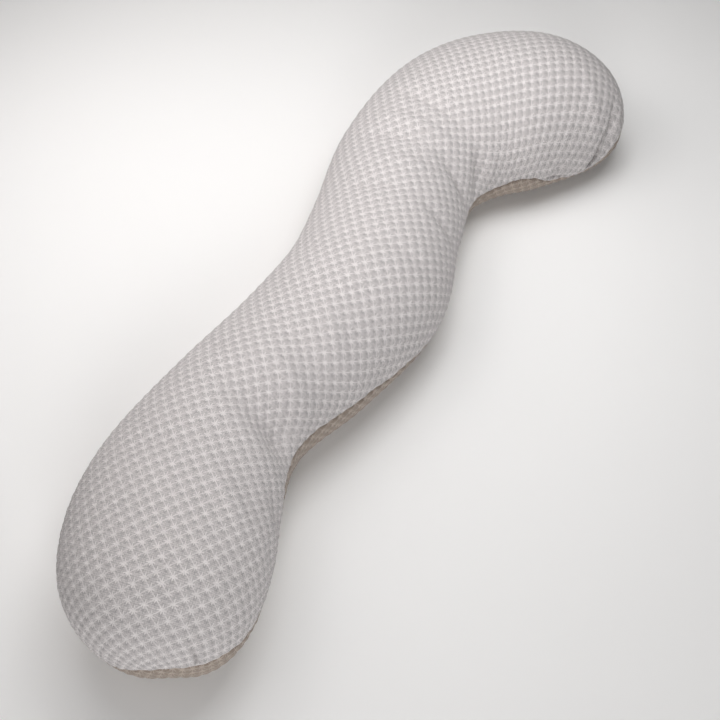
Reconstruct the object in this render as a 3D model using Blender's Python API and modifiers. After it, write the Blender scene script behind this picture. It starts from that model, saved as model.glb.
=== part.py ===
"""Body pillow: one long, wavy, filled cushion that lies on its back.

A top panel and an under panel are sewn together along a seam that runs all the way
round, and the filling rounds both of them out. The solid is a row of cross sections
that follows the wave of the pillow, closed by a rounded end at each side, drawn in at
the seam and pressed flat where it rests.

Metres, +Z up. The pillow lies along X, and its origin is on the surface it rests on,
under the middle of its outline.
"""
import math

import bpy
import numpy as np

# ---------------------------------------------------------------- driving sizes

MM = 0.001

# Cross sections at equal steps along the pillow, from its near end to its far end, in mm.
# x, y: the middle of the pillow seen from above. half_width: from there to the seam.
# crown: height of the top. seam: height of the seam above the surface it rests on.
# In the first and last rows the rounded ends bring the width and the crown to nothing.
SECTION_COLUMNS = ("x", "y", "half_width", "crown", "seam")
SECTIONS = (
    (-541, -114, 143, 218, 80),
    (-453, -45, 133, 186, 95),
    (-352, -1, 120, 177, 92),
    (-229, 17, 100, 165, 80),
    (-102, 0, 109, 157, 70),
    (24, -8, 116, 161, 66),
    (138, 27, 108, 152, 61),
    (250, 57, 113, 151, 57),
    (367, 35, 137, 164, 59),
    (450, -47, 140, 182, 60),
    (511, -154, 136, 186, 62),
)

# Main folds in the top panel, at the bends where its cloth is gathered. along: place, as a
# share of the length. reach: from the seam up to this share of the way over the top.
# width: half width along the pillow, in mm. depth: in mm.
FOLD_COLUMNS = ("along", "reach", "width", "depth")
FOLDS = (
    (0.280, 0.56, 24, 6),
    (0.725, 0.52, 13, 5),
)

NEAR_END = 0.18          # share of the length that the near end's rounding takes
FAR_END = 0.19           # the same at the far end
END_POWER = 2.3          # 2 is an elliptical end, more is a blunter one
TURN_REACH = 0.08        # a section looks from this share before it to this share after it, so
                         # that the sections fan out evenly round the tight inner bends

REST_WIDTH = 0.50        # half width of the flat underside, as a share of the half width
REST_END = 0.90          # the underside starts to lift where an end is this full
REST_LIFT = 1.6          # how softly it lifts

SEAM_DRAW = 3.5 * MM     # how far the seam is drawn in
SEAM_GATHER = 0.5        # how much closer the points lie near the seam, for its groove

RINGS = 50               # cross sections in the cage
TOP_POINTS = 11          # points over the top, seam to seam
BELLY_POINTS = 2         # points on each side between the seam and the flat underside
REST_POINTS = 4          # points across the flat underside
SMOOTHING = 1            # levels of the Subdivision Surface
END_GATHER = 0.75        # how much closer the sections stand in the rounded ends

CLOTH_COLOUR = (0.62, 0.60, 0.60, 1.0)
CLOTH_ROUGHNESS = 0.85


# ---------------------------------------------------------------- curves along the pillow

def column(name):
    """One column of the section table, in metres."""
    index = SECTION_COLUMNS.index(name)
    return np.array([row[index] for row in SECTIONS]) * MM


def along_curve(values, place):
    """A Catmull-Rom curve through evenly spaced values, read at places from 0 to 1."""
    last = len(values) - 1
    first_extra = 2 * values[0] - values[1]
    last_extra = 2 * values[-1] - values[-2]
    held = np.concatenate([[first_extra], values, [last_extra]])
    position = np.asarray(place) * last
    cell = np.clip(np.floor(position).astype(int), 0, last - 1)
    t = position - cell
    before, start, end, after = (held[cell + step] for step in range(4))
    return 0.5 * (2 * start + (end - before) * t
                  + (2 * before - 5 * start + 4 * end - after) * t ** 2
                  + (3 * start - before - 3 * end + after) * t ** 3)


def middle_line(place):
    """The middle of the pillow seen from above."""
    return np.stack([along_curve(column("x"), place), along_curve(column("y"), place)], -1)


def ring_places():
    """Where the cross sections stand: closer together in the two rounded ends."""
    even = np.linspace(0.0, 1.0, RINGS)
    return even - END_GATHER * np.sin(2 * math.pi * even) / (2 * math.pi)


def fullness(place):
    """1 along the body, falling to 0 at the tips as a superellipse."""
    near = np.clip(1 - place / NEAR_END, 0, 1)
    far = np.clip(1 - (1 - place) / FAR_END, 0, 1)
    return np.clip(1 - np.maximum(near, far) ** END_POWER, 0, 1) ** (1 / END_POWER)


# ---------------------------------------------------------------- one cross section

def top_points():
    """Across and up, both in shares, over the top from the right seam to the left one.

    The top is half an ellipse whose points lie closer together near the seam.
    """
    step = np.arange(TOP_POINTS) / (TOP_POINTS - 1)
    angle = math.pi * (step - SEAM_GATHER * np.sin(2 * math.pi * step) / (2 * math.pi))
    return np.cos(angle), np.sin(angle)


def belly_points():
    """Across and down, both in shares, from the left seam to the edge of the flat underside."""
    angle = np.arange(1, BELLY_POINTS + 2) / (BELLY_POINTS + 1) * math.pi / 2
    across = -(REST_WIDTH + (1 - REST_WIDTH) * np.cos(angle))
    return across, np.sin(angle)


def ring_shares():
    """All the points of a cross section: across, up over the seam, down under the seam."""
    top_across, top_up = top_points()
    belly_across, belly_down = belly_points()
    rest_across = np.linspace(-REST_WIDTH, REST_WIDTH, REST_POINTS + 2)[1:-1]
    across = np.concatenate([top_across, belly_across, rest_across, -belly_across[::-1]])
    up = np.concatenate([top_up, np.zeros(len(across) - TOP_POINTS)])
    down = np.concatenate([np.zeros(TOP_POINTS), belly_down,
                           np.ones(REST_POINTS), belly_down[::-1]])
    return across, up, down


def seam_draw(across, up, down):
    """How far each point of a section is drawn in: only the two seam points are."""
    on_seam = (np.abs(across) > 0.999) & (up < 0.001) & (down < 0.001)
    return np.where(on_seam, SEAM_DRAW, 0.0)


def fold_depth(place, across, up, length):
    """Depth of the main folds over the top, each a soft trough that starts at the right seam."""
    over = np.where(up > 0, np.arctan2(up, across) / math.pi, 0.0)
    total = np.zeros((len(place), len(across)))
    for row in FOLDS:
        fold = dict(zip(FOLD_COLUMNS, row))
        distance = (place - fold["along"]) * length / (fold["width"] * MM)
        trough = np.exp(-distance ** 2)
        fade = np.sin(math.pi * np.clip(over / fold["reach"], 0, 1))
        total += fold["depth"] * MM * trough[:, None] * fade[None, :]
    return total


# ---------------------------------------------------------------- the whole surface

def pillow_rings():
    """The points of every cross section, as rings by points by xyz."""
    place = ring_places()
    middle = middle_line(place)
    ahead = middle_line(place + TURN_REACH) - middle_line(place - TURN_REACH)
    ahead /= np.linalg.norm(ahead, axis=1)[:, None]
    right = np.stack([ahead[:, 1], -ahead[:, 0]], -1)
    length = np.linalg.norm(np.diff(middle, axis=0), axis=1).sum()

    full = fullness(place)[:, None]
    half_width = along_curve(column("half_width"), place)[:, None] * full
    crown = along_curve(column("crown"), place)[:, None]
    seam = along_curve(column("seam"), place)[:, None]
    lift = (1 - np.clip(full / REST_END, 0, 1)) ** REST_LIFT

    across, up, down = ring_shares()
    sunk = fold_depth(place, across, up, length) * full
    drawn = seam_draw(across, up, down) * full
    sideways = half_width * across - np.sign(across) * drawn - sunk * across
    height = seam + (crown - seam) * full * up - seam * (1 - lift) * down - sunk * up

    rings = np.empty((RINGS, len(across), 3))
    rings[:, :, 0] = middle[:, :1] + sideways * right[:, :1]
    rings[:, :, 1] = middle[:, 1:] + sideways * right[:, 1:]
    rings[:, :, 2] = height
    return rings


def pillow_mesh(rings):
    """Joins ring to ring with four-sided faces and closes each end with a fan at its tip."""
    body = rings[1:-1]
    count, around = body.shape[:2]
    points = [rings[0, 0], *body.reshape(-1, 3), rings[-1, 0]]
    near_tip = 0
    far_tip = len(points) - 1

    def at(ring, k):
        return 1 + ring * around + k % around

    faces = [(at(r, k), at(r + 1, k), at(r + 1, k + 1), at(r, k + 1))
             for r in range(count - 1) for k in range(around)]
    faces += [(near_tip, at(0, k), at(0, k + 1)) for k in range(around)]
    faces += [(far_tip, at(count - 1, k + 1), at(count - 1, k)) for k in range(around)]
    mesh = bpy.data.meshes.new("body_pillow")
    mesh.from_pydata(points, [], faces)
    mesh.shade_smooth()
    mesh.update()
    return mesh


def cloth_material():
    material = bpy.data.materials.new("pale_grey_cloth")
    material.use_nodes = True
    shader = material.node_tree.nodes["Principled BSDF"]
    shader.inputs["Base Color"].default_value = CLOTH_COLOUR
    shader.inputs["Roughness"].default_value = CLOTH_ROUGHNESS
    shader.inputs["Metallic"].default_value = 0.0
    return material


def add_pillow(collection):
    mesh = pillow_mesh(pillow_rings())
    mesh.materials.append(cloth_material())
    pillow = bpy.data.objects.new("pillow", mesh)
    collection.objects.link(pillow)
    rounding = pillow.modifiers.new("rounding", "SUBSURF")
    rounding.levels = SMOOTHING
    rounding.render_levels = SMOOTHING
    return pillow


def main():
    for thing in list(bpy.data.objects):
        bpy.data.objects.remove(thing, do_unlink=True)
    collection = bpy.data.collections.new("body_pillow")
    bpy.context.scene.collection.children.link(collection)
    add_pillow(collection)


main()
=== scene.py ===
# %% [markdown]
# # A wavy body pillow in puffed star knit
#
# The pillow is a long filled cushion. A top panel and an under panel are cut to the same
# wavy outline, sewn together all the way round and stuffed. Its cloth is a double knit that
# puffs up in small cells, with a white star stitched where four cells meet.
#
# The packed part holds one plain solid, the node `pillow`. This lesson dresses it. Each new
# piece is a surface worked out with numpy, so that the shape stays a few formulas and a few
# driving sizes instead of thousands of moved points.

# %% Load the packed part
import math

import bpy
import numpy as np
from mathutils import Matrix, Vector


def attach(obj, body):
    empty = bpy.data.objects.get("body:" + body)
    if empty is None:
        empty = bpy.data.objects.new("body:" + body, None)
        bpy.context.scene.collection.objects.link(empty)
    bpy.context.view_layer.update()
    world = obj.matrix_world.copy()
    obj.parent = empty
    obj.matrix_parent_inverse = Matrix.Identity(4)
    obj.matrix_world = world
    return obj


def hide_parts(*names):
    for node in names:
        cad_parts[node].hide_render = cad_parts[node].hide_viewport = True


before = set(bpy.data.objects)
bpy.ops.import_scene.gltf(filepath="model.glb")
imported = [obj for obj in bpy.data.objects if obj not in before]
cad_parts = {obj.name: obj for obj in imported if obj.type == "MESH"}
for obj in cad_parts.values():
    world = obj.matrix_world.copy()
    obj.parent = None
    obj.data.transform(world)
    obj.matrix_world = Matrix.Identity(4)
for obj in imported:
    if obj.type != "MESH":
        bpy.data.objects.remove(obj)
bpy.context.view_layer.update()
MM = 0.001

# %% [markdown]
# ## The camera
#
# A camera's place is easiest to find from things of known size. Here the outline of the
# pillow and the size of its cloth cells in each place gave it: the pillow is seen from
# about 1.7 m away, 55 degrees down, with the camera a little tilted. It looks along its own
# -Z, so three unit vectors, right, up and back, make its rotation.

# %% Place the camera
CAMERA_PLACE = (-0.8465, -0.5812, 1.392)
CAMERA_HEADING = math.radians(33.75)      # from +X towards +Y
CAMERA_PITCH = math.radians(55.0)         # below the horizon
CAMERA_ROLL = math.radians(1.5)
LENS_MM = 63.0
SENSOR_MM = 36.0


def camera_axes(heading, pitch, roll):
    """Right, up and back of a camera that looks along heading and down by pitch."""
    level = Vector((math.cos(heading), math.sin(heading), 0))
    forward = level * math.cos(pitch) - Vector((0, 0, math.sin(pitch)))
    upright = level * math.sin(pitch) + Vector((0, 0, math.cos(pitch)))
    sideways = forward.cross(upright)
    right = sideways * math.cos(roll) - upright * math.sin(roll)
    up = sideways * math.sin(roll) + upright * math.cos(roll)
    return right, up, -forward


camera_data = bpy.data.cameras.new("photo_camera")
camera_data.lens = LENS_MM
camera_data.sensor_width = SENSOR_MM
camera = bpy.data.objects.new("photo_camera", camera_data)
bpy.context.scene.collection.objects.link(camera)
turn = Matrix(camera_axes(CAMERA_HEADING, CAMERA_PITCH, CAMERA_ROLL)).transposed()
camera.matrix_world = Matrix.Translation(CAMERA_PLACE) @ turn.to_4x4()
bpy.context.scene.camera = camera
print("the camera is", round(Vector(CAMERA_PLACE).length, 2), "m from the pillow's middle")

# %% [markdown]
# ## Curves through a few sections
#
# The pillow's shape is held by eleven cross sections at equal steps along it: where its
# middle is, how wide and how high it is there, and how high its widest line lies, where the
# solid has its seam. They are the sections of the part's own solid. Its cage is a little
# larger than the surface, because subdivision draws a cage in, so that allowance comes off
# here. A Catmull-Rom curve passes through every section, so the numbers are sizes of the
# surface itself. They were fitted to one photo with the length assumed, and not measured.

# %% The sections, in mm
SECTION_COLUMNS = ("x", "y", "half_width", "crown", "seam")
SECTIONS = (
    (-541, -114, 143, 218, 80),
    (-453, -45, 133, 186, 95),
    (-352, -1, 120, 177, 92),
    (-229, 17, 100, 165, 80),
    (-102, 0, 109, 157, 70),
    (24, -8, 116, 161, 66),
    (138, 27, 108, 152, 61),
    (250, 57, 113, 151, 57),
    (367, 35, 137, 164, 59),
    (450, -47, 140, 182, 60),
    (511, -154, 136, 186, 62),
)
CAGE_ALLOWANCE = {"half_width": 2.5, "crown": 2.0}


def column(name):
    """One column of the section table, in metres, without the cage's allowance."""
    index = SECTION_COLUMNS.index(name)
    return np.array([row[index] - CAGE_ALLOWANCE.get(name, 0) for row in SECTIONS]) * MM


def along_curve(values, place):
    """A Catmull-Rom curve through evenly spaced values, read at places from 0 to 1."""
    values = np.asarray(values, float)
    last = len(values) - 1
    held = np.concatenate([[2 * values[0] - values[1]], values, [2 * values[-1] - values[-2]]])
    position = np.asarray(place, float) * last
    cell = np.clip(np.floor(position).astype(int), 0, last - 1)
    t = (position - cell).reshape((-1,) + (1,) * (values.ndim - 1))
    before, start, end, after = (held[cell + step] for step in range(4))
    return 0.5 * (2 * start + (end - before) * t
                  + (2 * before - 5 * start + 4 * end - after) * t ** 2
                  + (3 * start - before - 3 * end + after) * t ** 3)


def middle_line(place):
    """The middle of the pillow seen from above."""
    return np.stack([along_curve(column("x"), place), along_curve(column("y"), place)], -1)


wave = middle_line(np.linspace(0, 1, 400))
print("length along the wave:", round(np.linalg.norm(np.diff(wave, axis=0), axis=1).sum(), 3), "m")

# %% [markdown]
# ## A profile carried along the pillow
#
# Both panels are the same idea: a profile, from one seam to the other, that is carried along
# the middle line and scaled by each section's sizes. The ends are rounded by letting the
# fullness fall to nothing as a superellipse, which is blunter than a ball, as a stuffed end
# is. Each profile stands square to the way ahead, looked at over a long reach, so that the
# profiles fan out evenly round the tight inner bends.

# %% Carry a profile
NEAR_END = 0.18          # share of the length that the near end's rounding takes
FAR_END = 0.19
END_POWER = 2.3          # 2 is an elliptical end, more is a blunter one
TURN_REACH = 0.08
REST_WIDTH = 0.50        # half width of the flat underside, as a share of the half width
REST_END = 0.90          # the underside starts to lift where an end is this full
REST_LIFT = 1.6          # how softly it lifts


def fullness(place):
    """1 along the body, falling to 0 at the tips: (1 - distance^p)^(1/p) in each end."""
    near = np.clip(1 - place / NEAR_END, 0, 1)
    far = np.clip(1 - (1 - place) / FAR_END, 0, 1)
    return np.clip(1 - np.maximum(near, far) ** END_POWER, 0, 1) ** (1 / END_POWER)


def way_ahead(place):
    """Unit direction from a little before each place to a little after it."""
    step = middle_line(place + TURN_REACH) - middle_line(place - TURN_REACH)
    return step / np.linalg.norm(step, axis=1)[:, None]


def carried(place, across, up, down):
    """Rows by points by xyz. across, up and down are shares of a section's half width,
    of its rise over the widest line and of that line's height."""
    ahead = way_ahead(place)
    right = np.stack([ahead[:, 1], -ahead[:, 0]], -1)
    full = fullness(place)[:, None]
    half_width = along_curve(column("half_width"), place)[:, None] * full
    seam = along_curve(column("seam"), place)[:, None]
    rise = (along_curve(column("crown"), place)[:, None] - seam) * full
    lift = (1 - np.clip(full / REST_END, 0, 1)) ** REST_LIFT
    middle = middle_line(place)
    sideways = half_width * across
    height = seam + rise * up - seam * (1 - lift) * down
    return np.stack([middle[:, :1] + sideways * right[:, :1],
                     middle[:, 1:] + sideways * right[:, 1:],
                     height], -1)


print("fullness 10 mm from the near tip:", fullness(np.array([0.009])).round(2))

# %% [markdown]
# ## Where the seam runs
#
# A section is a closed loop, and an angle names a place on it: 0 at the widest line on the
# right, a quarter turn at the crown and half a turn at the widest line on the left. The two
# panels meet near the widest line, but filling rolls the seam under it in some stretches,
# and there it is out of sight. A short table holds how far round the seam has rolled. The
# angle is eased from row to row, and a slow waver keeps the line from looking ruled.

# %% The seam's roll
SEAM_WAVE = math.radians(0.5)
WAVER = ((149, 0, 0.6), (257, 1, 0.4))   # radians along the pillow, radians at its start, share
SEAM_ROLL_COLUMNS = ("place", "right", "left")
SEAM_ROLL = (
    # degrees under the widest line
    (0.000, 6, 20),
    (0.012, 8, 32),
    (0.030, 15, 32),
    (0.055, 18, 16),
    (0.080, 24, 8),
    (0.140, 22, 4),
    (0.200, 18, 0),
    (0.255, 0, 0),
    (0.395, 0, 0),
    (0.440, 10, 0),
    (0.480, 21, 0),
    (0.540, 17, 0),
    (0.640, 14, 0),
    (0.670, 5, 0),
    (0.720, 4, 0),
    (0.820, -2, 0),
    (0.860, -1, 3),
    (0.912, 22, 6),
    (0.945, 38, 9),
    (0.968, 30, 9),
    (0.986, 12, 5),
    (1.000, 0, 0),
)


def eased(value):
    """0 to 1 with a soft start and end."""
    value = np.clip(value, 0, 1)
    return value * value * (3 - 2 * value)


def seam_roll(side, place):
    """How far under the widest line the seam runs on one side, as an angle: the table's
    rows, eased from each to the next, and a slow waver."""
    table = np.array(SEAM_ROLL)
    stations = table[:, 0]
    values = np.radians(table[:, SEAM_ROLL_COLUMNS.index(side)])
    row = np.clip(np.searchsorted(stations, place, side="right") - 1, 0, len(stations) - 2)
    share = (place - stations[row]) / (stations[row + 1] - stations[row])
    waver = sum(np.sin(place * rate + start) * part for rate, start, part in WAVER)
    return (values[row] + (values[row + 1] - values[row]) * eased(share)
            + SEAM_WAVE * waver * fullness(place))


rolled = np.degrees(seam_roll("right", np.linspace(0, 1, 400)))
print("the right seam runs", rolled.min().round(1), "to", rolled.max().round(1), "degrees under")

# %% [markdown]
# ## The two panels' profiles
#
# The loop is half an ellipse over the top, and underneath a quarter ellipse down each side
# to the flat strip that the pillow rests on. The top panel takes the loop from the right
# seam over the crown to the left seam, and the under panel takes the rest. The points lie
# closer together near the seam, because its groove is narrow.

# %% Top and under profiles
SEAM_GATHER = 0.5        # how much closer the points lie near the seam
BELLY_SHARE = 0.32       # share of the under profile between a seam and the flat strip


def gathered(over):
    """Shares from seam to seam, moved towards the nearer seam by a sine."""
    return over - SEAM_GATHER * np.sin(2 * math.pi * over) / (2 * math.pi)


def around(angle):
    """Across, up and down of the loop at an angle: an ellipse over the top, and a quarter
    ellipse towards the flat strip under the widest line on each side."""
    under = np.maximum(-angle, angle - math.pi)
    belly = np.clip(under, 0, math.pi / 2)
    on_belly = REST_WIDTH + (1 - REST_WIDTH) * np.cos(belly)
    across = np.where(under > 0, np.where(angle < 0, on_belly, -on_belly), np.cos(angle))
    return across, np.where(under > 0, 0, np.sin(angle)), np.sin(belly)


def top_angle(place, over):
    """The angle round the loop at each share of the way from the right seam to the left."""
    right, left = (seam_roll(side, place)[:, None] for side in ("right", "left"))
    return -right + (math.pi + right + left) * gathered(over)


def top_panel(place, over):
    """From the right seam, over 0, over the crown to the left seam, over 1."""
    return carried(place, *around(top_angle(place, over)))


def under_panel(place, over):
    """From the right seam, over 0, down to the flat strip, along it and up to the left one."""
    right, left = (seam_roll(side, place)[:, None] for side in ("right", "left"))
    share = gathered(over)
    from_seam = np.minimum(share, 1 - share)
    down_side = np.clip(from_seam / BELLY_SHARE, 0, 1)
    angle = np.where(share < 0.5, -right - (math.pi / 2 - right) * down_side,
                     math.pi + left + (math.pi / 2 - left) * down_side)
    across, up, down = around(angle)
    along_strip = np.clip((from_seam - BELLY_SHARE) / (0.5 - BELLY_SHARE), 0, 1)
    return carried(place, across * (1 - along_strip), up, down)


girth = np.linalg.norm(np.diff(top_panel(np.array([0.5]), np.linspace(0, 1, 100))[0], axis=0), axis=1)
print("the top panel is", girth.sum().round(3), "m from seam to seam at the middle")

# %% [markdown]
# ## Rows at even steps
#
# A row of points crosses the panel at one place along the pillow. Equal steps in place would
# leave wide gaps at the rounded ends, so the steps are measured over the surface first, on a
# fine trial, and the rows are then spread evenly over what was measured.

# %% Spread the rows
TRIAL_STEPS = 600
ROWS = 600
ACROSS = 157


def even_places(count):
    """Places whose rows lie about evenly along both seams and the crown. Near the tips a
    trial row's place follows a sine, because the rounded ends close so fast there."""
    turn = np.sin(math.pi / 2 * (1 - np.linspace(0, 1, TRIAL_STEPS))) ** (2 / END_POWER)
    body = np.linspace(NEAR_END, 1 - FAR_END, TRIAL_STEPS)
    fine = np.unique(np.concatenate([NEAR_END * (1 - turn), body, 1 - FAR_END * (1 - turn)]))
    lines = top_panel(fine, np.array([0.0, 0.5, 1.0]))
    steps = np.linalg.norm(np.diff(lines, axis=0), axis=2).mean(1)
    travelled = np.concatenate([[0], np.cumsum(steps)]) / steps.sum()
    return np.interp(np.linspace(0, 1, count), travelled, fine)


places = even_places(ROWS)
overs = np.linspace(0, 1, ACROSS)
print("each panel is", ROWS, "rows of", ACROSS, "points")

# %% [markdown]
# ## Rows that close at the two tips
#
# All the points of the first row are the same point, the near tip, and the last row is the
# far tip. Numbering them as one point each closes the grid there with a fan of triangles
# and leaves no pinhole.

# %% Number the points of a closed-ended grid


def point_numbers(rows, across):
    """Rows by across, with one number for the whole first row and one for the last."""
    inner = (rows - 2) * across
    numbers = np.empty((rows, across), int)
    numbers[0] = 0
    numbers[1:-1] = 1 + np.arange(inner).reshape(rows - 2, across)
    numbers[-1] = inner + 1
    return numbers


def grid_corners(numbers):
    """The four corner numbers of every cell of the grid, in order round the cell."""
    return np.stack([numbers[:-1, :-1], numbers[1:, :-1], numbers[1:, 1:], numbers[:-1, 1:]],
                    -1).reshape(-1, 4)


print(len(grid_corners(point_numbers(ROWS, ACROSS))), "cells in a panel's grid")

# %% [markdown]
# ## Flattening a panel to find how its cloth lies
#
# The star lattice is knitted into flat cloth, so it stays square on the roll and bends only
# as the panel is filled. A pattern drawn along and across the pillow would fan out at the
# bends, which the real one doesn't. So the filled panel is flattened again in the computer,
# as rigidly as possible: each small triangle is only allowed to turn, and the flat layout
# is the one that stretches them all least. A coarse grid is enough, because the layout is
# smooth. The sheet that is flattened reaches a fixed angle under the widest line, a little
# further than the seam ever rolls, so that the layout doesn't follow the seam's turns.

# %% Triangles of a filled panel, laid flat


def grid_triangles(numbers):
    """Both ways of splitting each cell, so that neither diagonal is favoured."""
    a, b, c, d = grid_corners(numbers).T
    split = np.concatenate([np.stack(three, 1) for three in
                            ((a, b, c), (a, c, d), (a, b, d), (b, c, d))])
    whole = (split[:, 0] != split[:, 1]) & (split[:, 1] != split[:, 2]) & (split[:, 0] != split[:, 2])
    return split[whole]


def laid_down(points, triangles):
    """Each triangle laid in a plane of its own: its first edge along x."""
    first, second, third = (points[triangles[:, k]] for k in range(3))
    edge = second - first
    length = np.linalg.norm(edge, axis=1)
    other = third - first
    ahead = (other * edge).sum(1) / length
    flat = np.zeros((len(triangles), 3, 2))
    flat[:, 1, 0] = length
    flat[:, 2, 0] = ahead
    flat[:, 2, 1] = np.sqrt(np.maximum((other ** 2).sum(1) - ahead ** 2, 0))
    return flat


def first_layout(surface):
    """Along the crown by across from the crown, both measured over the surface."""
    crown = surface[:, surface.shape[1] // 2]
    along = np.concatenate([[0], np.cumsum(np.linalg.norm(np.diff(crown, axis=0), axis=1))])
    steps = np.linalg.norm(np.diff(surface, axis=1), axis=2)
    across = np.concatenate([np.zeros((len(surface), 1)), np.cumsum(steps, 1)], 1)
    across -= across[:, [surface.shape[1] // 2]]
    return np.stack([np.broadcast_to(along[:, None], across.shape), across], -1)


print(len(grid_triangles(point_numbers(ROWS, ACROSS))), "triangles in a panel, split both ways")

# %% How strongly the edges pull
EDGES = ((0, 1, 2), (1, 2, 0), (2, 0, 1))     # an edge's two corners and the one opposite
TINY = 1e-9                                   # keeps a division or a solve away from zero


def edge_weights(flat):
    """For each edge one weight per triangle: the cotangent of the angle opposite it."""
    weights = []
    for i, j, k in EDGES:
        u, v = flat[:, i] - flat[:, k], flat[:, j] - flat[:, k]
        area = np.abs(u[:, 0] * v[:, 1] - u[:, 1] * v[:, 0])
        weights.append((u * v).sum(1) / np.maximum(area, TINY))
    return weights


def edge_pulls(triangles, weights, count):
    """A square matrix: how strongly each point is pulled by itself and by its neighbours.
    The first point is held, because the layout could otherwise drift away."""
    pull = np.zeros((count, count))
    for (i, j, _), weight in zip(EDGES, weights):
        one, other = triangles[:, i], triangles[:, j]
        for row, col, value in ((one, one, weight), (other, other, weight),
                                (one, other, -weight), (other, one, -weight)):
            np.add.at(pull, (row, col), value)
    pull[0, 0] += 1
    return pull + TINY * np.eye(count)


def best_turns(flat, corner, weights):
    """The angle that turns each laid-down triangle to lie best on its place in the layout:
    the angle of the weighted sum of its edges' products, old times new."""
    spread = sum(w[:, None, None] * (corner[:, i] - corner[:, j])[:, :, None]
                 * (flat[:, i] - flat[:, j])[:, None, :] for (i, j, _), w in zip(EDGES, weights))
    return np.arctan2(spread[:, 1, 0] - spread[:, 0, 1], spread[:, 0, 0] + spread[:, 1, 1])


half_square = edge_weights(np.array([[(0.0, 0.0), (1.0, 0.0), (0.0, 1.0)]]))
print("a right angle weighs", half_square[1].round(3), "and half of one", half_square[0].round(3))

# %% Flatten as rigidly as possible
FLAT_ROWS = 73
FLAT_ACROSS = 17
FLAT_ROUNDS = 60
SHEET_ROLL = math.radians(50)                 # how far under the widest line the sheet reaches


def flattened(surface):
    """The surface's layout as flat cloth: near tip at the origin, far tip on +x.
    Each round turns every triangle to its best angle, then solves for the points whose
    edges, weighted by cotangents, come closest to the turned triangles' edges."""
    numbers = point_numbers(*surface.shape[:2])
    count = numbers[-1, 0] + 1
    points = np.zeros((count, 3))
    points[numbers] = surface
    layout = np.zeros((count, 2))
    layout[numbers] = first_layout(surface)
    triangles = grid_triangles(numbers)
    flat = laid_down(points, triangles)
    weights = edge_weights(flat)
    solve = np.linalg.inv(edge_pulls(triangles, weights, count))
    for _ in range(FLAT_ROUNDS):
        angle = best_turns(flat, layout[triangles], weights)
        cos, sin = np.cos(angle), np.sin(angle)
        target = np.zeros((count, 2))
        for (i, j, _), w in zip(EDGES, weights):
            edge = flat[:, i] - flat[:, j]
            turned = w[:, None] * np.stack([cos * edge[:, 0] - sin * edge[:, 1],
                                            sin * edge[:, 0] + cos * edge[:, 1]], 1)
            np.add.at(target, triangles[:, i], turned)
            np.add.at(target, triangles[:, j], -turned)
        layout = solve @ target
    layout -= layout[0]
    axis = layout[-1] / np.linalg.norm(layout[-1])
    return np.stack([layout @ axis, layout @ np.array([-axis[1], axis[0]])], 1)[numbers]


flat_places = even_places(FLAT_ROWS)
flat_overs = np.linspace(0, 1, FLAT_ACROSS)
sheet_angles = -SHEET_ROLL + (math.pi + 2 * SHEET_ROLL) * flat_overs[None, :]
flat_sheet = flattened(carried(flat_places, *around(sheet_angles)))
flat_under = flattened(under_panel(flat_places, flat_overs))
print("flattened", flat_sheet.shape[:2], "points of the top sheet and of the under panel")

# %% [markdown]
# ## Reading the flat layout
#
# The layout is known at twelve hundred points and needed at nearly a hundred thousand. The
# same Catmull-Rom curve that runs through the sections reads it in between, both ways. For
# the top panel each row of points has its own shares of the sheet, because its seams roll.

# %% Read the layout at the panels' points
row_share = np.linspace(0, 1, ROWS)


def between(coarse, rows, across):
    """A coarse grid of values read at finer rows and points, by Catmull-Rom both ways."""
    down = along_curve(np.eye(coarse.shape[0]), rows)
    over = along_curve(np.eye(coarse.shape[1]), across)
    return np.einsum("ri,ijk,cj->rck", down, coarse, over)


def sheet_share(place, over):
    """How far across the sheet the top panel's places are, from 0 to 1."""
    return (top_angle(place, over) + SHEET_ROLL) / (math.pi + 2 * SHEET_ROLL)


def on_cloth(place, over):
    """Where the top panel's places lie on the flat cloth: rows by points by two."""
    rows = along_curve(np.eye(FLAT_ROWS), np.interp(place, places, row_share))
    share = sheet_share(place, over)
    points = along_curve(np.eye(FLAT_ACROSS), share.ravel()).reshape(share.shape + (-1,))
    return np.einsum("rcj,rjk->rck", points, np.einsum("ri,ijk->rjk", rows, flat_sheet))


top_layout = on_cloth(places, overs)
under_layout = between(flat_under, row_share, overs)
print("the flat top panel is", np.ptp(top_layout[..., 0]).round(3), "by",
      np.ptp(top_layout[..., 1]).round(3), "m")

# %% [markdown]
# ## The star lattice on the cloth
#
# The panel was cut at an angle to the cloth's rows. One angle, one cell size and one start
# place the whole lattice, and leave it up to a few cells off the stars in the photo. A real
# filling pulls the knit askew, but the error may as well lie in the form or the camera. The
# table below takes it up, in cells along each seam at nine even places. Its numbers are the
# rounded result of a least squares fit made outside this file, so they are data and not a
# design. At a tip both seams have the same pull, because they meet there. The lattice is
# kept as two numbers at each point of the mesh, counted in cells: whole numbers are stars.

# %% Lattice coordinates
CELL = 12.3 * MM                     # from star to star
GRAIN = math.radians(-42.8)          # from the panel's tip-to-tip line to a row of stars
FIRST_STAR = (-25.3, 31.25)          # cell numbers at the near tip of the top panel
UNDER_FIRST_STAR = (-24.6, 31.9)     # and of the under panel
PULL_COLUMNS = ("right_row", "right_column", "left_row", "left_column")
KNIT_PULL = (
    # fitted, in cells, from the near tip to the far tip
    (-0.9, 0.3, -0.9, 0.3),
    (1.0, 3.3, -1.4, -3.3),
    (-0.5, -0.3, 1.6, -0.1),
    (-0.4, -0.6, 1.6, -0.4),
    (0.6, 1.7, 0.4, -1.0),
    (-2.5, 0.2, -0.2, -1.2),
    (-1.9, -0.9, -1.7, -1.5),
    (-0.6, 2.1, 1.1, -1.5),
    (0.6, 4.5, 0.6, 4.5),
)


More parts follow.
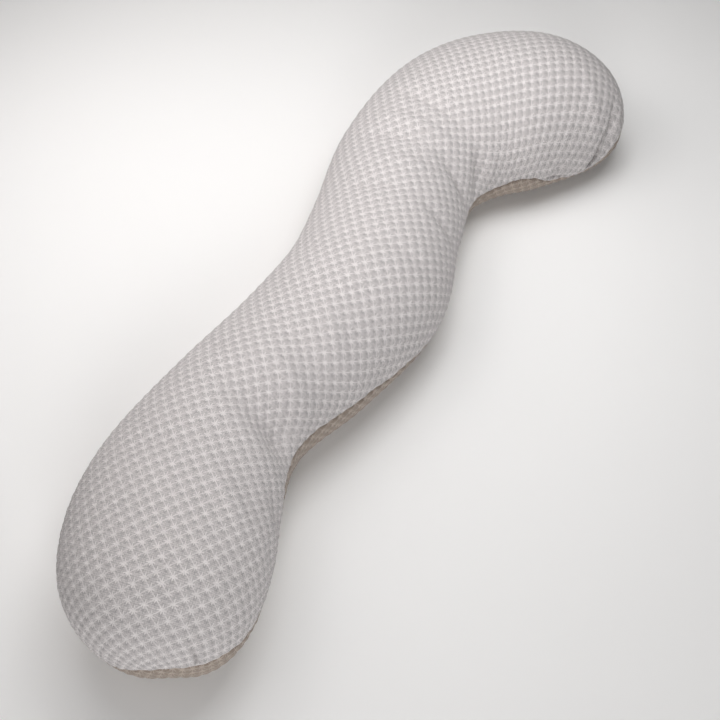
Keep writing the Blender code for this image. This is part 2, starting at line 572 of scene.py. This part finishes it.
def pulled(place, share):
    """How far the knit is shifted, in cells: the table's curves along each side, blended by
    how far across the sheet a place is."""
    askew = dict(zip(PULL_COLUMNS, along_curve(np.array(KNIT_PULL), place).T[..., None]))
    return np.stack([askew["right_" + way] * (1 - share) + askew["left_" + way] * share
                     for way in ("row", "column")], -1)


def lattice(layout, first):
    """Flat places counted in cells: turned by the grain, divided by the cell, mirrored,
    because the cloth's rows are numbered from its other edge."""
    x, y = layout[..., 0] / CELL, -layout[..., 1] / CELL
    return np.stack([first[0] + x * math.cos(GRAIN) - y * math.sin(GRAIN),
                     first[1] + x * math.sin(GRAIN) + y * math.cos(GRAIN)], -1)


top_cells = lattice(top_layout, FIRST_STAR) + pulled(places, sheet_share(places, overs))
under_cells = lattice(under_layout, UNDER_FIRST_STAR)
print("cells in the top panel, along by across:", np.ptp(top_cells, axis=(0, 1)).round())

# %% [markdown]
# ## Creases
#
# Where the pillow bends, its top panel is pushed together into long soft folds that start at
# the inner side of the bend, and a few short sharp ones sit where the seam turns at the
# ends, a dart among them. A cloth simulation could make folds, and wasn't tried here: these
# had to lie where the photo shows them. So they are listed, one row each, as a line from one
# place on the panel to another. A crease is a trough, or with a negative depth a ridge. It
# is deepest at its peak, a share of its length, and runs out at both ends. A peak of 0 is
# deepest at the start.

# %% The table of creases
CREASE_COLUMNS = ("along_1", "over_1", "along_2", "over_2", "peak", "width", "depth")
CREASES = (
    # places are shares along and over the panel, widths and depths are in mm
    # the waist: a broad hollow from the inner bend, a ridge beyond it, a softer pair before it
    # and two short ones over the crown
    (0.272, 0.00, 0.303, 0.62, 0.24, 30, 17.0),
    (0.320, 0.08, 0.350, 0.58, 0.42, 18, -5.5),
    (0.150, 0.12, 0.225, 0.30, 0.50, 13, 3.4),
    (0.115, 0.33, 0.215, 0.48, 0.50, 14, -4.0),
    (0.232, 0.46, 0.190, 0.72, 0.50, 13, 3.0),
    (0.338, 0.54, 0.306, 0.78, 0.45, 12, 2.8),
    # the broad middle
    (0.362, 0.25, 0.382, 0.60, 0.50, 13, 3.4),
    (0.386, 0.30, 0.430, 0.52, 0.50, 14, -3.4),
    (0.440, 0.20, 0.446, 0.60, 0.45, 14, 2.8),
    (0.470, 0.58, 0.500, 0.80, 0.50, 14, 2.6),
    (0.514, 0.24, 0.528, 0.62, 0.45, 13, 2.8),
    # the neck: gathers that fan out from the inner bend, with ridges between them
    (0.690, 0.02, 0.750, 0.37, 0.35, 13, 7.0),
    (0.749, 0.28, 0.737, 0.72, 0.45, 13, 6.0),
    (0.728, 0.10, 0.762, 0.30, 0.50, 9, -2.5),
    (0.712, 0.28, 0.702, 0.68, 0.50, 12, -4.6),
    (0.650, 0.10, 0.692, 0.46, 0.40, 14, 6.4),
    (0.692, 0.40, 0.667, 0.70, 0.50, 12, 5.2),
    (0.652, 0.34, 0.636, 0.64, 0.50, 12, -3.8),
    (0.570, 0.18, 0.606, 0.48, 0.40, 13, 4.6),
    (0.606, 0.44, 0.593, 0.68, 0.50, 13, 4.0),
    # the far end: a hollow over the seam, a ridge, the shaded fold with its dart and a branch
    (0.895, 0.10, 0.931, 0.26, 0.50, 9, 4.4),
    (0.880, 0.03, 0.935, 0.10, 0.40, 2.5, 2.6),
    (0.938, 0.56, 0.955, 0.26, 0.50, 12, -2.4),
    (0.966, 0.12, 0.982, 0.48, 0.40, 12, 8.0),
    (0.955, 0.13, 0.972, 0.36, 0.00, 3.4, 8.0),
    (0.961, 0.22, 0.972, 0.15, 0.00, 2.6, 4.0),
    (0.975, 0.22, 0.981, 0.44, 0.50, 4, 1.6),
    # the near end: a pucker at the seam and a soft band
    (0.003, 0.05, 0.010, 0.36, 0.20, 3.2, 3.2),
    (0.049, 0.66, 0.038, 0.34, 0.50, 12, 2.8),
    (0.092, 0.20, 0.150, 0.26, 0.50, 12, 3.0),
)
print(len(CREASES), "creases, the deepest", max(row[-1] for row in CREASES), "mm")

# %% [markdown]
# ## Creases on the cloth
#
# A crease's sides rise a little, because the cloth that goes down in the trough pulls the
# filling up beside it. Distances are measured on the flat cloth, so a crease stays as wide
# round a bend. A sharp crease of real cloth closes up and no light gets into it. The one
# here stays open a little at its floor, so a second number says how far it is closed, and
# the cloth's material is painted dark by it: painted shade in the crease's floor.

# %% Depth and closing of the creases
SIDE_RISE = 0.6                 # how strongly the sides of a trough rise
# a sharp crease's floor gets painted shade, in full from CLOSING_DEPTH on
SHARP = 5.0                     # mm, a crease narrower than this closes up
CLOSING_DEPTH = 6.0             # mm, from this depth it is closed all the way


def one_place(along, over):
    """Where one place of the top panel lies on the flat cloth."""
    return on_cloth(np.array([along]), np.array([over]))[0, 0]


def creased(layout):
    """How deep the creases are at each place of the flat cloth, and how much painted shade the
    sharp ones get there, from 0 to 1. Across a crease the depth is a bell of the distance over
    the width, with its sides turned up: (1 - rise * reach) * exp(-reach)."""
    total = np.zeros(layout.shape[:2])
    crease_shade = np.zeros(layout.shape[:2])
    for row in CREASES:
        crease = dict(zip(CREASE_COLUMNS, row))
        start = one_place(crease["along_1"], crease["over_1"])
        line = one_place(crease["along_2"], crease["over_2"]) - start
        share = ((layout - start) @ line) / (line @ line)
        on_line = np.clip(share, 0, 1)
        distance = np.linalg.norm(layout - start - on_line[..., None] * line, axis=-1)
        reach = (distance / (crease["width"] * MM)) ** 2
        peak = crease["peak"]
        rise = eased(on_line / peak) if peak > 0 else 1.0
        fall = eased((1 - on_line) / (1 - peak)) if peak < 1 else 1.0
        trough = crease["depth"] * np.exp(-reach) * rise * fall
        total += MM * (1 - SIDE_RISE * reach) * trough
        # a sharp crease gets painted shade in its floor, the deeper the darker
        if crease["width"] < SHARP:
            crease_shade = np.maximum(crease_shade, trough / CLOSING_DEPTH)
    return total, np.clip(crease_shade, 0, 1)


top_dents, top_painted_shade = creased(top_layout)
print("the dents, in mm:", (-top_dents.max() / MM).round(1), "to", (-top_dents.min() / MM).round(1))

# %% [markdown]
# ## Puffs and the seam
#
# Two more things move the cloth off the smooth form. The cells puff up between the stitched
# lines, and lie flatter where the pillow rests. The seam pulls both panels in to a narrow
# groove and puckers the cloth beside it. Everything acts along the surface's normal.

# %% Puffs, groove and puckers
PUFF = 1.9 * MM                 # height of a cell over the stars at its corners
PUFF_POWER = 0.6                # under 1 makes the cells broad and the grooves narrow
LINE_SHARE = 0.65               # share of a puff that the lines hold down, the stars hold the rest
REST_CALM = 12.0 * MM           # the cells flatten out this close to the floor
REST_PUFF = 0.25                # share of the puff that is left on the floor
SEAM_DEPTH = 4.0 * MM
SEAM_WIDTH = 2.2 * MM
SEAM_CALM = 9.0 * MM            # the cells flatten out this close to the seam
PUCKER = 0.5 * MM
PUCKER_START = 3.0 * MM         # the puckers rise from the seam over this distance
PUCKER_REACH = 16.0 * MM        # and fade over this one
PUCKER_STEP = 2.7 * MM          # a ripple's length is this times a full turn
STEP_DRIFT = 9.7 * MM           # how slowly the ripples' spacing changes
DRIFT = 1.3                     # and how much


def outward(surface, side):
    """Unit normals from the neighbours on each side, times 1 for a panel whose rows run
    from right to left seen from outside, or -1; a tip takes its first row's mean."""
    along = np.gradient(surface, axis=0)
    across = np.gradient(surface, axis=1)
    normal = np.cross(along, across) * side
    for tip, beside in ((0, 1), (-1, -2)):
        normal[tip] = normal[beside].mean(0)
    return normal / np.maximum(np.linalg.norm(normal, axis=2), TINY * MM)[..., None]


def puff(cells):
    """0 at the stars, low on the lines between them and 1 in the middle of a cell: the
    product of two sines, which is 0 on the lines, and the root of the sum of their squares,
    which is 0 at the stars alone."""
    lines = np.abs(np.sin(math.pi * cells[..., 0]) * np.sin(math.pi * cells[..., 1]))
    from_star = np.sin(math.pi * cells[..., 0]) ** 2 + np.sin(math.pi * cells[..., 1]) ** 2
    return LINE_SHARE * lines ** PUFF_POWER + (1 - LINE_SHARE) * np.sqrt(np.clip(from_star, 0, 1))


def seam_distance(surface):
    """Distance over the surface to the nearer seam, and along the pillow."""
    steps = np.linalg.norm(np.diff(surface, axis=1), axis=2)
    reached = np.concatenate([np.zeros((len(surface), 1)), np.cumsum(steps, 1)], 1)
    sideways = np.minimum(reached, reached[:, -1:] - reached)
    middle = surface[:, surface.shape[1] // 2]
    ahead = np.concatenate([[0], np.cumsum(np.linalg.norm(np.diff(middle, axis=0), axis=1))])
    return sideways, ahead[:, None]


def dressed(surface, normal, cells, dents):
    """The surface with its puffs, dents, puckers and seam groove, along the normals. The
    groove and the puckers fade as exp(-distance / reach) from the seam."""
    sideways, ahead = seam_distance(surface)
    off_floor = REST_PUFF + (1 - REST_PUFF) * eased(surface[..., 2] / REST_CALM)
    raised = PUFF * eased(sideways / SEAM_CALM) * off_floor * (puff(cells) - 1)
    groove = SEAM_DEPTH * np.exp(-sideways / SEAM_WIDTH)
    ripple = np.sin(ahead / PUCKER_STEP + DRIFT * np.sin(ahead / STEP_DRIFT))
    pucker = PUCKER * ripple * np.exp(-sideways / PUCKER_REACH) * eased(sideways / PUCKER_START)
    return surface + normal * (raised + pucker - groove - dents)[..., None]


print("a puff is", puff(np.array([0.5, 0.0])).round(2), "high on a line and 1 in its middle")

# %% [markdown]
# ## The two panels meet
#
# Each panel is pushed along its own normals. Along the seam both take the same ones, the
# mean of the two, so that they meet at the floor of the groove, to a fraction of a
# millimetre. The line where they meet gets painted shade, nearly as dark as a closed
# crease's, so it goes into the same number.

# %% Push the cloth along its normals
SEAM_LINE = 0.9 * MM            # half width of the shaded line where the panels meet
# how dark the painted shade along the seam line is
SEAM_SHADE = 0.8
top_smooth = top_panel(places, overs)
under_smooth = under_panel(places, overs)
top_normal = outward(top_smooth, 1)
under_normal = outward(under_smooth, -1)
for edge in (0, -1):
    shared = top_normal[:, edge] + under_normal[:, edge]
    shared /= np.linalg.norm(shared, axis=1)[:, None]
    top_normal[:, edge] = shared
    under_normal[:, edge] = shared
top_shape = dressed(top_smooth, top_normal, top_cells, top_dents)
under_shape = dressed(under_smooth, under_normal, under_cells, np.zeros((ROWS, ACROSS)))
# painted shade along the seam line, in the same number as the tucks' painted shade
seam_line_shade = SEAM_SHADE * np.exp(-seam_distance(top_smooth)[0] / SEAM_LINE)
top_painted_shade = np.maximum(top_painted_shade, seam_line_shade)
seam_gap = abs(top_shape[:, 0] - under_shape[:, 0]).max() / MM
print("the right seam's two edges are at most", seam_gap.round(2), "mm apart")

# %% [markdown]
# ## From grid to mesh
#
# from_pydata takes the points and the faces, which have three corners at the tips and four
# elsewhere. The lattice goes along as a point attribute with three numbers, two for the
# cells and one for the painted shade of closed tucks and the seam line. foreach_set hands it
# over as one array, and the cloth's shader reads it back. A UV map would do for the first two
# numbers alone.

# %% Build a panel's mesh


def panel_object(name, shape, cells, painted_shade, flip):
    """A mesh of the grid, with its lattice and painted shade, smooth shaded and facing outwards."""
    numbers = point_numbers(*shape.shape[:2])
    count = numbers[-1, 0] + 1
    points = np.zeros((count, 3))
    points[numbers] = shape
    cells_and_shade = np.zeros((count, 3))
    cells_and_shade[numbers, :2] = cells
    cells_and_shade[numbers, 2] = painted_shade
    corners = grid_corners(numbers)
    if flip:
        corners = corners[:, ::-1]
    faces = [list(dict.fromkeys(face)) for face in corners.tolist()]
    mesh = bpy.data.meshes.new(name)
    mesh.from_pydata(points.tolist(), [], faces)
    attribute = mesh.attributes.new("cloth_cells_and_shade", "FLOAT_VECTOR", "POINT")
    attribute.data.foreach_set("vector", cells_and_shade.ravel())
    mesh.shade_smooth()
    mesh.update()
    piece = bpy.data.objects.new(name, mesh)
    bpy.context.scene.collection.objects.link(piece)
    print(name, "has", sum(len(face) - 2 for face in faces), "triangles")
    return piece


top_piece = panel_object("top_panel", top_shape, top_cells, top_painted_shade, flip=False)
no_painted_shade = np.zeros((ROWS, ACROSS))
under_piece = panel_object("under_panel", under_shape, under_cells, no_painted_shade, flip=True)

# %% [markdown]
# ## Shader sums in plain Python
#
# A shader's maths is easier to read as a formula than as a row of nodes. This small class
# wraps one socket: the operators add Math nodes, and `add` makes any other node.

# %% A socket that can be calculated with


class Wire:
    """One output socket. Sums with numbers and other wires add Math nodes."""

    def __init__(self, tree, socket=None):
        self.tree = tree
        self.socket = socket

    def add(self, kind, settings=(), sockets=(), output=0):
        """A node of that kind: first its settings, then its sockets' values or links."""
        node = self.tree.nodes.new(kind)
        for name, value in dict(settings).items():
            setattr(node, name, value)
        for name, value in dict(sockets).items():
            if isinstance(value, Wire):
                self.tree.links.new(value.socket, node.inputs[name])
            else:
                node.inputs[name].default_value = value
        return Wire(self.tree, node.outputs[output] if len(node.outputs) else None)

    def sum_node(self, operation, *values):
        """A Math node. Its values are numbers or wires."""
        return self.add("ShaderNodeMath", {"operation": operation}, dict(enumerate(values)))

    def __add__(self, other):
        return self.sum_node("ADD", self, other)

    def __sub__(self, other):
        return self.sum_node("SUBTRACT", self, other)

    def __rsub__(self, other):
        return self.sum_node("SUBTRACT", other, self)

    def __mul__(self, other):
        return self.sum_node("MULTIPLY", self, other)

    def __pow__(self, other):
        return self.sum_node("POWER", self, other)

    def __abs__(self):
        return self.sum_node("ABSOLUTE", self)

    __radd__ = __add__
    __rmul__ = __mul__

    def sine(self):
        return self.sum_node("SINE", self)

    def larger(self, other):
        return self.sum_node("MAXIMUM", self, other)

    def smaller(self, other):
        return self.sum_node("MINIMUM", self, other)

    def from_nearest(self):
        """Signed distance to the nearest whole number."""
        return self.sum_node("FRACT", self + 0.5) - 0.5

    def ramp(self, start, end):
        """0 at start, 1 at end, eased between."""
        return self.add("ShaderNodeMapRange", {"interpolation_type": "SMOOTHSTEP"},
                        {"Value": self, "From Min": start, "From Max": end})


def new_material(name):
    """A material with no nodes yet, and the wire that adds them."""
    material = bpy.data.materials.new(name)
    material.use_nodes = True
    material.node_tree.nodes.clear()
    return material, Wire(material.node_tree)


def finish_material(start, shader):
    """Links a shader to the material's output."""
    start.add("ShaderNodeOutputMaterial", (), {"Surface": shader})


print("a wire can do:", [name for name in vars(Wire) if callable(getattr(Wire, name))])

# %% [markdown]
# ## The puffed star knit
#
# Close up the cloth is a double knit: grey yarn in the puffed cells, and thicker white yarn
# in the stars and the thin lines between them. A star is a filled heart with eight short
# rays that taper outwards, none quite as long as the next, because each is a stitch of its
# own, and one reaches well into the cell. Two distances give a ray: along it and across it.
# A picture of the cloth would be the quick way, but it would blur close up and show where it
# repeats, so the pattern is worked out from the lattice instead.

# %% Rays of a star
RAY_COLUMNS = ("degrees", "reach", "half_width")
STAR_RAYS = (
    # angle from the row of stars, then reach and half width at the root in cells
    (0, 0.34, 0.065),
    (50, 0.39, 0.085),
    (90, 0.35, 0.070),
    (135, 0.37, 0.080),
    (180, 0.35, 0.070),
    (215, 0.40, 0.085),
    (270, 0.34, 0.065),
    (315, 0.47, 0.075),
)
RAY_TAPER = 0.45                # share of its width that a ray loses by its end
RAY_START = 0.01                # how softly a ray starts at the star's middle
EDGE = 0.022                    # how soft the edges of the white yarn are


def ray(side_u, side_v, degrees, reach, half_width):
    """White between the two edges of one tapering ray, from its root to its end."""
    cos, sin = math.cos(math.radians(degrees)), math.sin(math.radians(degrees))
    along = side_u * cos + side_v * sin
    across = abs(side_v * cos - side_u * sin)
    edge = (1 - along * (RAY_TAPER / reach)) * half_width
    inside = (edge - across).ramp(-EDGE / 2, EDGE / 2)
    return inside * along.ramp(-RAY_START, RAY_START) * along.ramp(reach + EDGE, reach - EDGE)


print("a star has", len(STAR_RAYS), "rays")

# %% Stars, thin lines, dips and loops
STAR_HEART = 0.15
LINE_WIDTH = 0.042              # half width of the thin line from star to star
ROW_LINE = 0.80                 # how white the line is along a row, and along a column
COLUMN_LINE = 0.70
# the dip is relief in the bump, and its darker tone is painted shade
DIP_PLACE = (-0.30, 0.32)       # middle of the darker dip beside a star
DIP_REACH = 0.28
LOOPS_PER_CELL = 4
SLANT_SHARE = 0.6               # share of the slanting ribs in the loops
RIB_SHIFT = 0.5                 # how far a rib moves the rows that cross it


def stars(side_u, side_v):
    """White in the hearts, the rays and the thin lines, from the distances to a star."""
    au, av = abs(side_u), abs(side_v)
    from_star = (au * au + av * av) ** 0.5
    star = from_star.ramp(STAR_HEART + EDGE, STAR_HEART - EDGE)
    for row in STAR_RAYS:
        star = star.larger(ray(side_u, side_v, **dict(zip(RAY_COLUMNS, row))))
    star = star.larger(av.ramp(LINE_WIDTH + EDGE, LINE_WIDTH) * ROW_LINE)
    return star.larger(au.ramp(LINE_WIDTH + EDGE, LINE_WIDTH) * COLUMN_LINE)


def star_dips(u, v):
    """1 in the middle of the dip beside each star, 0 from its reach on."""
    dip_u, dip_v = (u - DIP_PLACE[0]).from_nearest(), (v - DIP_PLACE[1]).from_nearest()
    return ((dip_u * dip_u + dip_v * dip_v) ** 0.5).ramp(DIP_REACH, 0.0)


def knit_loops(u, v):
    """Slanting ribs, the absolute value of a sine, crossed by rows that they shift."""
    slant, rise = (u - v) * LOOPS_PER_CELL, (u + v) * LOOPS_PER_CELL
    leaning = abs((slant * math.pi).sine())
    crossing = ((rise + leaning * RIB_SHIFT) * (2 * math.pi)).sine() * 0.5 + 0.5
    return leaning * SLANT_SHARE + crossing * (1 - SLANT_SHARE)


print("a loop is", round(CELL / MM / LOOPS_PER_CELL / math.sqrt(2), 1), "mm wide")

# %% [markdown]
# ## The cloth's material
#
# The cloth dips at the side of each star, with painted shade in the dip. Three noises keep it
# from looking printed: slow clouds over the whole pillow, stitches that differ, and the fuzz
# of single fibres. The loops of the knit are too fine for the mesh, so they are bump and a
# faint change of tone. Closed tucks and the seam line get a dark painted shade.

# %% Star knit material
PUFF_EDGE = 0.20                # how far into a cell its rounded edge reaches
CLOUDS = {"Scale": 7.0, "Detail": 2.0}
STITCHES = {"Scale": 90.0, "Detail": 2.0}
FIBRES = {"Scale": 480.0, "Detail": 3.0}
# how much each thing adds to, or takes off, the tone, the yarn's white, the bump and roughness;
# the dip's share of the tone is painted shade
TONE = {"start": 0.58, "cloudy": 0.25, "fuzz": 2.2, "loops": 0.8, "shaded_dip": 0.6}
WHITE = {"start": 0.77, "uneven": 0.7, "fuzz": 0.8}
BUMP = {"edge": 0.4, "loops": 0.25, "star": 0.45, "shaded_dip": 0.5, "fuzz": 0.3}
ROUGH = {"start": 0.82, "fuzz": 0.15, "star": 0.08}
BUMP_STRENGTH = 0.9
BUMP_DEPTH = 0.8 * MM
# near-black colour of the painted shade in closed tucks and along the seam line
TUCK_SHADOW_COLOUR = (0.10, 0.085, 0.08, 1)
TUCK_SHADE = 0.85               # how far a closed tuck turns to that colour


def mixed(start, share, first, second):
    """A colour between two, by a share from 0 to 1."""
    return start.add("ShaderNodeMix", {"data_type": "RGBA"}, {0: share, 6: first, 7: second}, output=2)


def star_knit(name, cell, yarn, shade):
    """A material of puffed cells with white stars where four of them meet."""
    material, start = new_material(name)
    cells = start.add("ShaderNodeAttribute", {"attribute_name": "cloth_cells_and_shade"}, output=1)
    u = start.add("ShaderNodeSeparateXYZ", (), {0: cells})
    v = Wire(start.tree, u.socket.node.outputs[1])
    tuck_shade = Wire(start.tree, u.socket.node.outputs[2])
    side_u, side_v = u.from_nearest(), v.from_nearest()
    star, shaded_dip, loops = stars(side_u, side_v), star_dips(u, v), knit_loops(u, v)

    place = start.add("ShaderNodeTexCoord", output=3)
    cloudy = start.add("ShaderNodeTexNoise", (), {"Vector": place, **CLOUDS})
    fuzz = start.add("ShaderNodeTexNoise", (), {"Vector": place, **FIBRES})
    uneven = start.add("ShaderNodeTexNoise", (), {"Vector": place, **STITCHES})

    # the dip takes off tone as painted shade beside each star
    tone = ((cloudy - 0.5) * TONE["cloudy"] + (fuzz - 0.5) * TONE["fuzz"]
            + (loops - 0.5) * TONE["loops"] - shaded_dip * TONE["shaded_dip"] + TONE["start"])
    white = star * (WHITE["start"] + (uneven - 0.5) * WHITE["uneven"] + (fuzz - 0.5) * WHITE["fuzz"])
    colour = mixed(start, white, mixed(start, tone, shade, cell), yarn)
    # painted shade: closed tucks and the seam line turn towards the near-black colour
    colour = mixed(start, tuck_shade * TUCK_SHADE, colour, TUCK_SHADOW_COLOUR)

    edge = abs(side_u).smaller(abs(side_v)).ramp(0.0, PUFF_EDGE)
    height = (edge * BUMP["edge"] + loops * BUMP["loops"] + star * BUMP["star"]
              - shaded_dip * BUMP["shaded_dip"] + fuzz * BUMP["fuzz"])
    bump = start.add("ShaderNodeBump", (), {
        "Strength": BUMP_STRENGTH, "Distance": BUMP_DEPTH, "Height": height})
    rough = ROUGH["start"] + (fuzz - 0.5) * ROUGH["fuzz"] - star * ROUGH["star"]
    finish_material(start, start.add("ShaderNodeBsdfPrincipled", (), {
        "Base Color": colour, "Roughness": rough, "Normal": bump,
        "Sheen Weight": 0.15, "Sheen Roughness": 0.5, "Specular IOR Level": 0.25}))
    return material


print("the bump is", round(BUMP_DEPTH / MM, 1), "mm deep and a puff", round(PUFF / MM, 1), "mm high")

# %% [markdown]
# ## A lit and a shaded copy of one cloth
#
# The under panel shows only as a narrow strip under the seam. It is the same knit, in a
# warmer and darker copy of its colours: painted shade. Each copy needs three colours: the
# cells, the white yarn and the shade that the cells fall off to.

# %% Colour the panels
TOP_TONES = {
    "cell": (0.64, 0.605, 0.605, 1),
    "yarn": (0.82, 0.785, 0.785, 1),
    "shade": (0.37, 0.355, 0.36, 1),
}
# painted shade: the same knit's colours, darker and warmer, for the under panel
UNDER_SHADED_TONES = {
    "cell": (0.36, 0.30, 0.255, 1),
    "yarn": (0.53, 0.455, 0.40, 1),
    "shade": (0.27, 0.22, 0.185, 1),
}
top_piece.data.materials.append(star_knit("top_star_knit", **TOP_TONES))
under_piece.data.materials.append(star_knit("under_star_knit_shaded", **UNDER_SHADED_TONES))
print("materials:", [material.name for material in bpy.data.materials])

# %% [markdown]
# ## The floor
#
# A plain pale square at height 0, where the pillow rests. It is far larger than the view, so
# its edges never show. Its grain is only a faint change of roughness.

# %% Floor
FLOOR_HALF = 6.0                # m
FLOOR_COLOUR = (0.93, 0.93, 0.93, 1)
FLOOR_GRAIN = {"Scale": 30.0, "Detail": 3.0}
FLOOR_ROUGH = {"start": 0.85, "grain": 0.1}


def floor_object():
    """One large square at the height the pillow rests on."""
    mesh = bpy.data.meshes.new("studio_floor")
    low, high = -FLOOR_HALF, FLOOR_HALF
    corners = [(low, low, 0), (high, low, 0), (high, high, 0), (low, high, 0)]
    mesh.from_pydata(corners, [], [(0, 1, 2, 3)])
    floor = bpy.data.objects.new("studio_floor", mesh)
    bpy.context.scene.collection.objects.link(floor)
    material, start = new_material("floor_paper")
    place = start.add("ShaderNodeTexCoord", output=3)
    grain = start.add("ShaderNodeTexNoise", (), {"Vector": place, **FLOOR_GRAIN})
    rough = FLOOR_ROUGH["start"] + (grain - 0.5) * FLOOR_ROUGH["grain"]
    finish_material(start, start.add("ShaderNodeBsdfPrincipled", (), {
        "Base Color": FLOOR_COLOUR, "Roughness": rough, "Specular IOR Level": 0.1}))
    mesh.materials.append(material)
    return floor


floor = floor_object()
print("floor", 2 * FLOOR_HALF, "m square")

# %% [markdown]
# ## The lights
#
# Five square soft boxes, all turned to the pillow's middle. Two small ones hang close over
# the far half and beside the middle, the brightest parts, and fall off towards the near
# end. One stands close at the left. The key light is a large one, low behind the camera,
# for the side that faces it. A wide, weak one high at the left opens up the shadows, and so
# does a little light from all round.

# %% Lights
LIGHT_COLUMNS = ("name", "place", "watts", "size", "colour")
LIGHTS = (
    # place and size in m
    ("far_light", (0.42, -0.05, 1.1), 6.4, 0.7, (1.0, 0.99, 0.98)),
    ("middle_light", (-0.04, 0.30, 1.05), 2.7, 0.7, (1.0, 0.99, 0.98)),
    ("left_light", (0.1, 0.6, 0.7), 2.2, 0.6, (1.0, 0.96, 0.94)),
    ("key_light", (-1.80, -1.25, 1.0), 22.5, 1.0, (1.0, 0.99, 0.98)),
    ("fill_light", (-1.2, 1.2, 1.7), 3.4, 1.4, (1.0, 0.92, 0.87)),
)
SKY_COLOUR = (0.98, 0.99, 1.0, 1)
SKY_STRENGTH = 0.08


def area_light(name, place, watts, size, colour):
    """A square soft light that looks at the pillow's middle."""
    data = bpy.data.lights.new(name, "AREA")
    data.shape = "SQUARE"
    data.energy = watts
    data.size = size
    data.color = colour
    light = bpy.data.objects.new(name, data)
    light.visible_camera = False
    bpy.context.scene.collection.objects.link(light)
    turned = Vector(place).to_track_quat("Z", "Y")
    light.matrix_world = Matrix.Translation(place) @ turned.to_matrix().to_4x4()


for row in LIGHTS:
    area_light(**dict(zip(LIGHT_COLUMNS, row)))
world = bpy.data.worlds.new("studio_air")
world.use_nodes = True
world.node_tree.nodes["Background"].inputs["Color"].default_value = SKY_COLOUR
world.node_tree.nodes["Background"].inputs["Strength"].default_value = SKY_STRENGTH
bpy.context.scene.world = world
bpy.context.scene.view_settings.view_transform = "Standard"
print(len(LIGHTS), "lights of", round(sum(row[2] for row in LIGHTS), 1), "W in all")

# %% [markdown]
# ## Hand over
#
# Each piece rides on the part's only body and stands for its plain solid, which is hidden.
# What is inside them is filling that gives way.

for piece in (top_piece, under_piece):
    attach(piece, "root")
    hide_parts("pillow")
